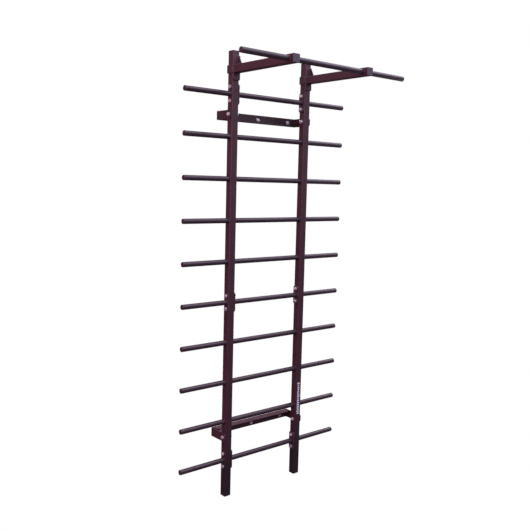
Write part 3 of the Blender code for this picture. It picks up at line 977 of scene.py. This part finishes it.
armPlate = {"corner": 0.004, "edge": 0.0022}
gusset = {"nose": 0.010, "edge": 0.0005}
collar = {"thick": 0.005, "bend": 0.005, "inner": 0.001, "edge": 0.0006}
for side in sides:
    arm = boxOf("arm_" + side)[0]
    barPlace = (arm.x, barCentre.y, barCentre.z)
    barHole = drill(barSize.z / 2 + post["holeGap"], "X", barPlace, armSize.x / 2 + 0.01)
    tube = squareTube("arm_" + side, "Y", [barHole])
    addPiece(side + "ArmTube", tube, armCoat, "black_steel", "arm_" + side)

    centre, size = boxOf("arm_plate_" + side)
    mesh = softened(roundedBox(size, centre, "Y", armPlate["corner"], 5), armPlate["edge"], 3)
    addPiece(side + "ArmPlate", mesh, armPlateCoat, "black_steel", "arm_plate_" + side)

    centre, size = boxOf("gusset_" + side)
    front, back = centre.y - size.y / 2, centre.y + size.y / 2
    low, high = centre.z - size.z / 2, centre.z + size.z / 2
    nose = gusset["nose"]
    outline = [(back, low), (back, high), (back - nose, high), (front, low + nose), (front, low)]
    turn = Matrix.Translation((centre.x, 0, 0)) @ profileTurn
    mesh = softened(extruded(outline, -size.x / 2, size.x / 2, turn), gusset["edge"])
    addPiece(side + "Gusset", mesh, armPlateCoat, "black_steel", "gusset_" + side)

    centre, size = boxOf("arm_collar_" + side)
    half, thick = size.x / 2, collar["thick"]
    front, back = centre.y - size.y / 2, centre.y + size.y / 2
    bend, inner = collar["bend"], collar["inner"]
    outline = [(centre.x - half, front)]
    outline += arc((centre.x - half + bend, back - bend), bend, 180, 90, 6)
    outline += arc((centre.x + half - bend, back - bend), bend, 90, 0, 6)
    outline += [(centre.x + half, front), (centre.x + half - thick, front)]
    outline += arc((centre.x + half - thick - inner, back - thick - inner), inner, 0, 90, 3)
    outline += arc((centre.x - half + thick + inner, back - thick - inner), inner, 90, 180, 3)
    outline += [(centre.x - half + thick, front)]
    mesh = extruded(outline, centre.z - size.z / 2, centre.z + size.z / 2, Matrix.Identity(4))
    mesh = combined(mesh, [boltHole("Y", (centre.x, back, centre.z), 2 * thick)])
    mesh = softened(mesh, collar["edge"])
    addPiece(side + "Collar", mesh, collarCoat, "black_steel", "arm_collar_" + side)
print("arms made")

# Wall brackets

bracket = {
    "thick": 0.005,
    "bend": 0.008,
    "clip": 0.008,
    "shelf": 0.045,
    "shelfClip": 0.020,
    "edge": 0.0007,
}
for level, edge in (("lower", 1), ("upper", -1)):
    node = "wall_bracket_" + level
    centre, size = boxOf(node)
    half, thick, bend = size.x / 2, bracket["thick"], bracket["bend"]
    front, wall = centre.y - size.y / 2, centre.y + size.y / 2
    low, high = centre.z - size.z / 2, centre.z + size.z / 2
    outline = [(-half, front), *arc((-half + bend, wall - bend), bend, 180, 90, 8)]
    outline += [*arc((half - bend, wall - bend), bend, 90, 0, 8), (half, front), (half - thick, front)]
    outline += arc((half - bend, wall - bend), bend - thick, 0, 90, 5)
    outline += arc((-half + bend, wall - bend), bend - thick, 90, 180, 5)
    outline += [(-half + thick, front)]
    strip = extruded(outline, low, high, Matrix.Identity(4))
    clip = bracket["clip"]
    profile = [(front, low + clip), (front + clip, low), (wall + 0.01, low), (wall + 0.01, high)]
    profile += [(front + clip, high), (front, high - clip)]
    profileMesh = extruded(profile, -half - 0.01, half + 0.01, profileTurn)
    shelfFront, shelfBack = wall - bracket["shelf"], wall - thick / 2
    reach, cut = half - thick - bend, bracket["shelfClip"]
    shelf = [(-reach, shelfBack), (reach, shelfBack)]
    shelf += arc((reach - cut, shelfFront + cut), cut, 0, -90, 8)
    shelf += arc((-reach + cut, shelfFront + cut), cut, -90, -180, 8)
    shelfHigh = high if edge > 0 else low + thick
    shelfMesh = extruded(shelf, shelfHigh - thick, shelfHigh, Matrix.Identity(4))
    cuts = [("INTERSECT", profileMesh), ("UNION", shelfMesh)]
    for name in wallBoltNames:
        if level in name:
            hole = boxOf(name)[0]
            cuts.append(boltHole("Y", (hole.x, wall, hole.z), 2 * thick))
    for side, sign in sides.items():
        hole = boxOf(f"bracket_bolt_{side}_{level}")[0]
        cuts.append(boltHole("X", (sign * half, hole.y, hole.z), 2 * thick))
    mesh = softened(combined(strip, cuts), bracket["edge"])
    # the upper bracket takes the darker coat with painted shade
    paint = bracketCoat if level == "lower" else shadedUpperBracketCoat
    addPiece(level + "WallBracket", mesh, paint, "black_steel", node)
print("brackets made")

# Bolts, washers and nuts

bolt = {
    "radius": 0.005,
    "acrossFlats": 0.016,
    "head": 0.0064,
    "nut": 0.008,
    "washerRadius": 0.010,
    "washer": 0.002,
    "gap": 0.0003,
    "tail": 0.003,
    "pitch": 0.0015,
    "thread": 0.018,
    "shortThread": 0.004,
    "markRadius": 0.0042,
}


def hexBlock(low, high, chamferBoth):
    corner = bolt["acrossFlats"] / math.sqrt(3)
    turns = [math.radians(60 * k) for k in range(6)]
    hexagon = [(corner * math.cos(t), corner * math.sin(t)) for t in turns]
    prism = extruded(hexagon, low, high, Matrix.Identity(4))
    face = bolt["acrossFlats"] / 2 * 0.96
    slope = (corner - face) * 0.62
    outline = [(high, 0), (high, face), (high - slope, corner + 0.0002)]
    if chamferBoth:
        outline += [(low + slope, corner + 0.0002), (low, face), (low, 0)]
    else:
        outline += [(low - 0.001, corner + 0.0002), (low - 0.001, 0)]
    return combined(prism, [("INTERSECT", lathe(outline, 48))])


def washerRing(low, high):
    outer, inner, soft = bolt["washerRadius"], bolt["radius"] + 0.0003, 0.0003
    outline = [(low, inner), (low, outer - soft), (low + soft, outer)]
    outline += [(high - soft, outer), (high, outer - soft), (high, inner)]
    return lathe(outline, 48, ring=True)


def threadedShank(low, high, threaded):
    radius, pitch = bolt["radius"], bolt["pitch"]
    outline = [(low, 0), (low, radius - 0.0012), (low + 0.0008, radius - 0.0003)]
    height = low + 0.001
    while height < low + threaded:
        outline.append((height, radius - 0.0009))
        outline += [(height + pitch * 0.45, radius), (height + pitch * 0.55, radius)]
        height += pitch
    outline += [(height, radius - 0.0002), (high, radius - 0.0002), (high, 0)]
    return lathe(outline, 32)


def makeBolt(below, grip=None):  # its head stands on z = 0 and its shank reaches down
    washerTop = bolt["gap"] + bolt["washer"]
    headTop = washerTop + bolt["head"]
    parts = [washerRing(bolt["gap"], washerTop), hexBlock(washerTop, headTop, False)]
    markTop, markFoot, radius = headTop + 0.0002, headTop - 0.001, bolt["markRadius"]
    outline = [(markTop, 0), (markTop, radius), (markFoot, radius + 0.0006), (markFoot, 0)]
    parts.append(lathe(outline, 32))
    threaded = bolt["thread"] if grip else bolt["shortThread"]
    parts.append(threadedShank(-below, washerTop + 0.001, threaded))
    if grip:
        farFace = -grip - bolt["gap"]
        farWasher = farFace - bolt["washer"]
        parts += [washerRing(farWasher, farFace), hexBlock(farWasher - bolt["nut"], farWasher, True)]
    return smoothByAngle(joined(parts), 28)


postCentreX, postHalf = postCentre.x, postSize.x / 2
plateThick = boxOf("rung_plate_left_lower")[1].x
bracketCentre, bracketSize = boxOf("wall_bracket_lower")
wallFace = bracketCentre.y + bracketSize.y / 2 - bracket["thick"]
pastNut = bolt["gap"] + bolt["washer"] + bolt["nut"] + bolt["tail"]


def sidePlaces(names, across):  # on the outer faces, this far from the middle
    found = []
    for name in names:
        sign = -1 if "left" in name else 1
        centre = boxOf(name)[0]
        found.append((Vector((sign * across, centre.y, centre.z)), (sign, 0, 0)))
    return found


def facePlaces(names, y, facing):  # on a face that looks along Y
    return [(Vector((boxOf(name)[0].x, y, boxOf(name)[0].z)), (0, facing, 0)) for name in names]


for pieceName, names, across, gripped, seed in (
    ("plateBolts", plateBoltNames, postCentreX + postHalf, plateThick, 11),
    ("bracketBolts", bracketBoltNames, bracketSize.x / 2, bracket["thick"], 12),
):
    grip = 2 * postHalf + bolt["gap"] + gripped
    shape, places = makeBolt(grip + pastNut, grip), sidePlaces(names, across)
    placeShapes(pieceName, shape, places, zincPlate, "zinc_steel", names, seed=seed)

collarBack = collarCentre.y + collarSize.y / 2
screwDepth = collar["thick"] + bolt["gap"] + post["wall"] + 0.006
for pieceName, names, y, facing, below, seed in (
    ("wallBolts", wallBoltNames, wallFace, -1, bracket["thick"] - bolt["gap"], 13),
    ("collarScrews", collarScrewNames, collarBack, 1, screwDepth, 14),
):
    shape, places = makeBolt(below), facePlaces(names, y, facing)
    placeShapes(pieceName, shape, places, zincPlate, "zinc_steel", names, seed=seed)
fastenerNames = plateBoltNames + bracketBoltNames + wallBoltNames + collarScrewNames
print("fasteners made:", len(fastenerNames))

# Weld beads

weld = {
    "bead": 0.0017,
    "armBead": 0.001955,
    "pitch": 0.0021,
    "depth": 0.00022,
    "wander": 0.0009,
    "step": 0.0007,
    "lift": 0.0004,
    "strapInset": 0.0025,
    "strapHalf": 0.018,
    "seed": 3,
}


def weldPiece(name, chains, bead):  # (points, closed) chains
    points, edges = [], []
    for chain, isClosed in chains:
        first = len(points)
        points += chain
        edges += [(first + k, first + k + 1) for k in range(len(chain) - 1)]
        if isClosed:
            edges.append((len(points) - 1, first))
    mesh = bpy.data.meshes.new("paths")
    mesh.from_pydata(points, edges, [])
    values = {
        "Bead Radius": bead,
        "Ripple Pitch": weld["pitch"],
        "Ripple Depth": weld["depth"],
        "Wander": weld["wander"],
        "Step": weld["step"],
        "Seed": weld["seed"],
        "Material": weldCoat,
    }
    return addPiece(name, facingOut(grown(mesh, weldTree, values)), weldCoat, "black_steel")


def ringChain(x, y, z, radius, count=48):
    turns = [2 * math.pi * step / count for step in range(count)]
    return [(x, y + radius * math.cos(t), z + radius * math.sin(t)) for t in turns], True


plateNames = [f"rung_plate_left_{level}" for level in ("lower", "middle", "upper")]
platedHeights = {round(boxOf(name)[0].z, 3) for name in plateNames}
for side, sign in sides.items():
    chains = []
    for name in rungNames:
        height = boxOf(name)[0].z
        outer = sign * (postCentreX + postHalf)
        inner = sign * (postCentreX - postHalf)
        if round(height, 3) in platedHeights:
            inner -= sign * (plateThick + bolt["gap"])
        for x in (outer, inner):
            chains.append(ringChain(x, postCentre.y, height, rungRadius + weld["lift"]))
    weldPiece(side + "RungWelds", chains, weld["bead"])

    chains = []
    for x in (sign * postCentreX - armSize.x / 2, sign * postCentreX + armSize.x / 2):
        chains.append(ringChain(x, barCentre.y, barCentre.z, barSize.z / 2 + weld["lift"]))
    root = armCentre.y + armSize.y / 2
    outline = []
    half, corner = armSize.x / 2, post["corner"]
    for turn, (dx, dz) in enumerate(((1, 1), (-1, 1), (-1, -1), (1, -1))):
        middle = (dx * (half - corner), dz * (half - corner))
        outline += arc(middle, corner, turn * 90, turn * 90 + 90, 5)
    chains.append(([(sign * postCentreX + x, root, armCentre.z + z) for x, z in outline], True))
    web, webSize = boxOf("gusset_" + side)
    low, high = web.z - webSize.z / 2, web.z + webSize.z / 2
    back, front = web.y + webSize.y / 2, web.y - webSize.y / 2
    run = [(front + 0.003, low), (back - 0.001, low), (back, low + 0.001), (back, high - 0.003)]
    for face in (web.x - webSize.x / 2, web.x + webSize.x / 2):
        chains.append(([(face, y, z) for y, z in run], False))
    strap, strapSize = boxOf("arm_collar_" + side)
    offset, front = strapSize.x / 2 - weld["strapInset"], strap.y - strapSize.y / 2
    low, high = strap.z - weld["strapHalf"], strap.z + weld["strapHalf"]
    for x in (strap.x - offset, strap.x + offset):
        chains.append(([(x, front, low), (x, front, high)], False))
    weldPiece(side + "ArmWelds", chains, weld["armBead"])
print("welds made")

# A plain printed row of bars, in place of any lettering

marks = {
    "low": 0.363,
    "high": 0.541,
    "count": 15,
    "width": 0.020,
    "narrowest": 0.5,
    "fill": 0.70,
    "thick": 0.00015,
    "seed": 5,
}


def makeMarkTree():
    tree, given, out = newTree(
        "printedBars",
        "GeometryNodeTree",
        [
            ("Geometry", "Geometry", None),
            ("Count", "Int", 10),
            ("Pitch", "Float", 0.01),
            ("Bar Width", "Float", 0.01),
            ("Bar Height", "Float", 0.004),
            ("Thickness", "Float", 0.0002),
            ("Seed", "Int", 5),
            ("Material", "Material", None),
        ],
        [("Geometry", "Geometry")],
    )
    step = addNode(tree, "ShaderNodeCombineXYZ", {"Z": given["Pitch"]})
    row = addNode(tree, "GeometryNodeMeshLine", {"Count": given["Count"], "Offset": step.outputs[0]})
    onStart = addNode(
        tree, "GeometryNodeInstanceOnPoints", {"Points": given["Geometry"], "Instance": row.outputs[0]}
    )
    rows = addNode(tree, "GeometryNodeRealizeInstances", {"Geometry": onStart.outputs[0]})
    size = addNode(
        tree,
        "ShaderNodeCombineXYZ",
        {"X": given["Bar Width"], "Y": given["Thickness"], "Z": given["Bar Height"]},
    )
    bar = addNode(tree, "GeometryNodeMeshCube", {"Size": size.outputs[0]})
    share = addNode(tree, "FunctionNodeRandomValue", data_type="FLOAT")
    share.inputs[2].default_value, share.inputs[3].default_value = marks["narrowest"], 1.0
    tree.links.new(given["Seed"], share.inputs["Seed"])
    scale = addNode(tree, "ShaderNodeCombineXYZ", {"X": share.outputs[1], "Y": 1.0, "Z": 1.0})
    bars = addNode(
        tree,
        "GeometryNodeInstanceOnPoints",
        {"Points": rows.outputs[0], "Instance": bar.outputs[0], "Scale": scale.outputs[0]},
    )
    return endTree(tree, bars.outputs[0], given["Material"], out)


markPitch = (marks["high"] - marks["low"]) / (marks["count"] - 1)
markStart = Vector((postCentreX, postCentre.y - postHalf - marks["thick"] / 2, marks["low"]))
markMesh = grown(
    pointsMesh([(markStart, (0, 0, 1))]),
    makeMarkTree(),
    {
        "Count": marks["count"],
        "Pitch": markPitch,
        "Bar Width": marks["width"],
        "Bar Height": markPitch * marks["fill"],
        "Thickness": marks["thick"],
        "Seed": marks["seed"],
        "Material": paleInk,
    },
)
addPiece("printedBars", markMesh, paleInk, "black_steel")

# Camera, floor and light

camera = {
    "place": (-2.4108, -2.6757, 1.6761),
    "yaw": 39.92,
    "pitch": -6.195,
    "roll": 1.430,
    "lens": 46.62,
    "shift": (0.0033, -0.0102),
}


def addCamera():
    data = bpy.data.cameras.new("camera")
    data.lens = camera["lens"]
    data.shift_x, data.shift_y = camera["shift"]
    viewer = bpy.data.objects.new("camera", data)
    sceneObjects.link(viewer)
    yaw, pitch, roll = (math.radians(camera[key]) for key in ("yaw", "pitch", "roll"))
    forward = Vector((math.sin(yaw) * math.cos(pitch), math.cos(yaw) * math.cos(pitch), math.sin(pitch)))
    right = Vector((math.cos(yaw), -math.sin(yaw), 0))
    up = right.cross(forward)
    rolledRight = right * math.cos(roll) + up * math.sin(roll)
    rolledUp = up * math.cos(roll) - right * math.sin(roll)
    matrix = Matrix((rolledRight, rolledUp, -forward)).transposed().to_4x4()
    matrix.translation = camera["place"]
    viewer.matrix_world = matrix
    bpy.context.scene.camera = viewer


ground = {"radius": 70, "drop": 0.002, "colour": (0.10, 0.08, 0.09), "rough": 0.9}


def addFloor():  # dim to the object, and plain white to the camera
    shape = bmesh.new()
    bmesh.ops.create_circle(shape, cap_ends=True, segments=96, radius=ground["radius"])
    mesh = meshFrom(shape, "floor")
    material = bpy.data.materials.new("paleFloor")
    material.use_nodes = True
    tree = material.node_tree
    shader = tree.nodes["Principled BSDF"]
    shader.inputs["Base Color"].default_value = (*ground["colour"], 1.0)
    shader.inputs["Roughness"].default_value = ground["rough"]
    glow = addNode(tree, "ShaderNodeEmission", {"Color": (1.0, 1.0, 1.0, 1.0), "Strength": 1.0})
    seen = addNode(tree, "ShaderNodeLightPath").outputs["Is Camera Ray"]
    both = addNode(tree, "ShaderNodeMixShader", {0: seen, 1: shader.outputs[0], 2: glow.outputs[0]})
    tree.links.new(both.outputs[0], tree.nodes["Material Output"].inputs["Surface"])
    mesh.materials.append(material)
    floor = bpy.data.objects.new("floor", mesh)
    floor.location.z = -ground["drop"]
    sceneObjects.link(floor)


sky = {"colour": (1.0, 0.62, 0.80), "strength": 0.44}
lampAim = Vector((0, 0, 1.15))
panels = {
    "leftPanel": {"place": (-4.2, -0.4, 1.9), "size": 2.4, "power": 114, "colour": (1.0, 0.38, 0.55)},
    "frontPanel": {"place": (-1.5, -4.5, 3.8), "size": 2.0, "power": 130, "colour": (0.52, 0.88, 1.0)},
    "sheenPanel": {"place": (3.2, -4.6, 2.0), "size": 6.0, "power": 20, "colour": (0.60, 0.84, 1.0)},
    "rightPanel": {"place": (1.7, -1.7, 4.6), "size": 3.6, "power": 84, "colour": (0.88, 0.78, 1.0)},
    "farPanel": {"place": (5.0, 0.4, 5.0), "size": 4.0, "power": 84, "colour": (0.78, 0.84, 1.0)},
    "topPanel": {"place": (-0.6, -0.8, 5.0), "size": 2.0, "power": 60, "colour": (0.55, 0.90, 1.0)},
    "backPanel": {"place": (0.0, 2.2, 4.8), "size": 3.0, "power": 32, "colour": (1.0, 0.56, 0.66)},
    "rearPanel": {"place": (0.2, 4.8, 4.2), "size": 2.0, "power": 90, "colour": (0.96, 0.88, 1.0)},
    "sidePanel": {"place": (4.9, 0.8, 1.8), "size": 2.6, "power": 70, "colour": (0.92, 0.88, 1.0)},
}


def addStudio():
    world = bpy.data.worlds.new("studio")
    bpy.context.scene.world = world
    world.use_nodes = True
    tree = world.node_tree
    lit = tree.nodes["Background"]
    lit.inputs["Color"].default_value = (*sky["colour"], 1.0)
    lit.inputs["Strength"].default_value = sky["strength"]
    white = addNode(tree, "ShaderNodeBackground", {"Color": (1.0, 1.0, 1.0, 1.0), "Strength": 1.0})
    seen = addNode(tree, "ShaderNodeLightPath").outputs["Is Camera Ray"]
    both = addNode(tree, "ShaderNodeMixShader", {0: seen, 1: lit.outputs[0], 2: white.outputs[0]})
    tree.links.new(both.outputs[0], tree.nodes["World Output"].inputs["Surface"])
    for name, panel in panels.items():
        light = bpy.data.lights.new(name, "AREA")
        light.shape, light.size = "DISK", panel["size"]
        light.energy, light.color = panel["power"], panel["colour"]
        lamp = bpy.data.objects.new(name, light)
        lamp.location = panel["place"]
        lamp.rotation_euler = (lampAim - lamp.location).to_track_quat("-Z", "Y").to_euler()
        sceneObjects.link(lamp)
    bpy.context.scene.view_settings.view_transform = "Standard"


addCamera()
addFloor()
addStudio()
print("camera, floor and lights made")
